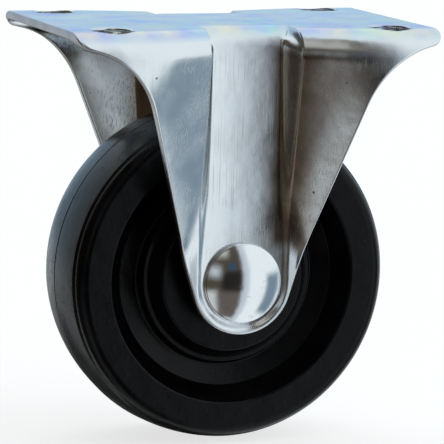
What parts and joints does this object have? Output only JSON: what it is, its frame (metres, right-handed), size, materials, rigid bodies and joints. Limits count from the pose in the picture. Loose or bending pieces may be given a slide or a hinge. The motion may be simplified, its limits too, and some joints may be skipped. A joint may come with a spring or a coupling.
{
  "type": "fixed castor",
  "caption": "Fixed castor with a pressed steel fork bracket, a flat bolt-on plate, a domed axle rivet and a black moulded wheel.",
  "frame": {"origin": "middle of the four plate holes, on the plate's top face", "axes": "+Z out of the plate's top face, X along the rolling direction and the plate's long side, Y along the axle with the rivet's domed head on the -Y side"},
  "size_m": [0.0886, 0.066, 0.1],
  "materials": {
    "bracket_steel": "bright zinc plated with a pale blue tint",
    "rivet_steel": "polished, zinc plated",
    "tube_steel": "turned, bare",
    "wheel_moulding": "black moulding with a soft gloss"
  },
  "bodies": {
    "bracket": {"bracket": "bracket_steel", "axle_rivet": "rivet_steel", "axle_tube": "tube_steel"},
    "wheel": {"wheel": "wheel_moulding"}
  },
  "joints": [
    {"name": "wheel_spin", "type": "hinge", "parent": "bracket", "child": "wheel", "pos_m": [0, 0, -0.06], "axis": [0, 1, 0], "continuous": true}
  ]
}
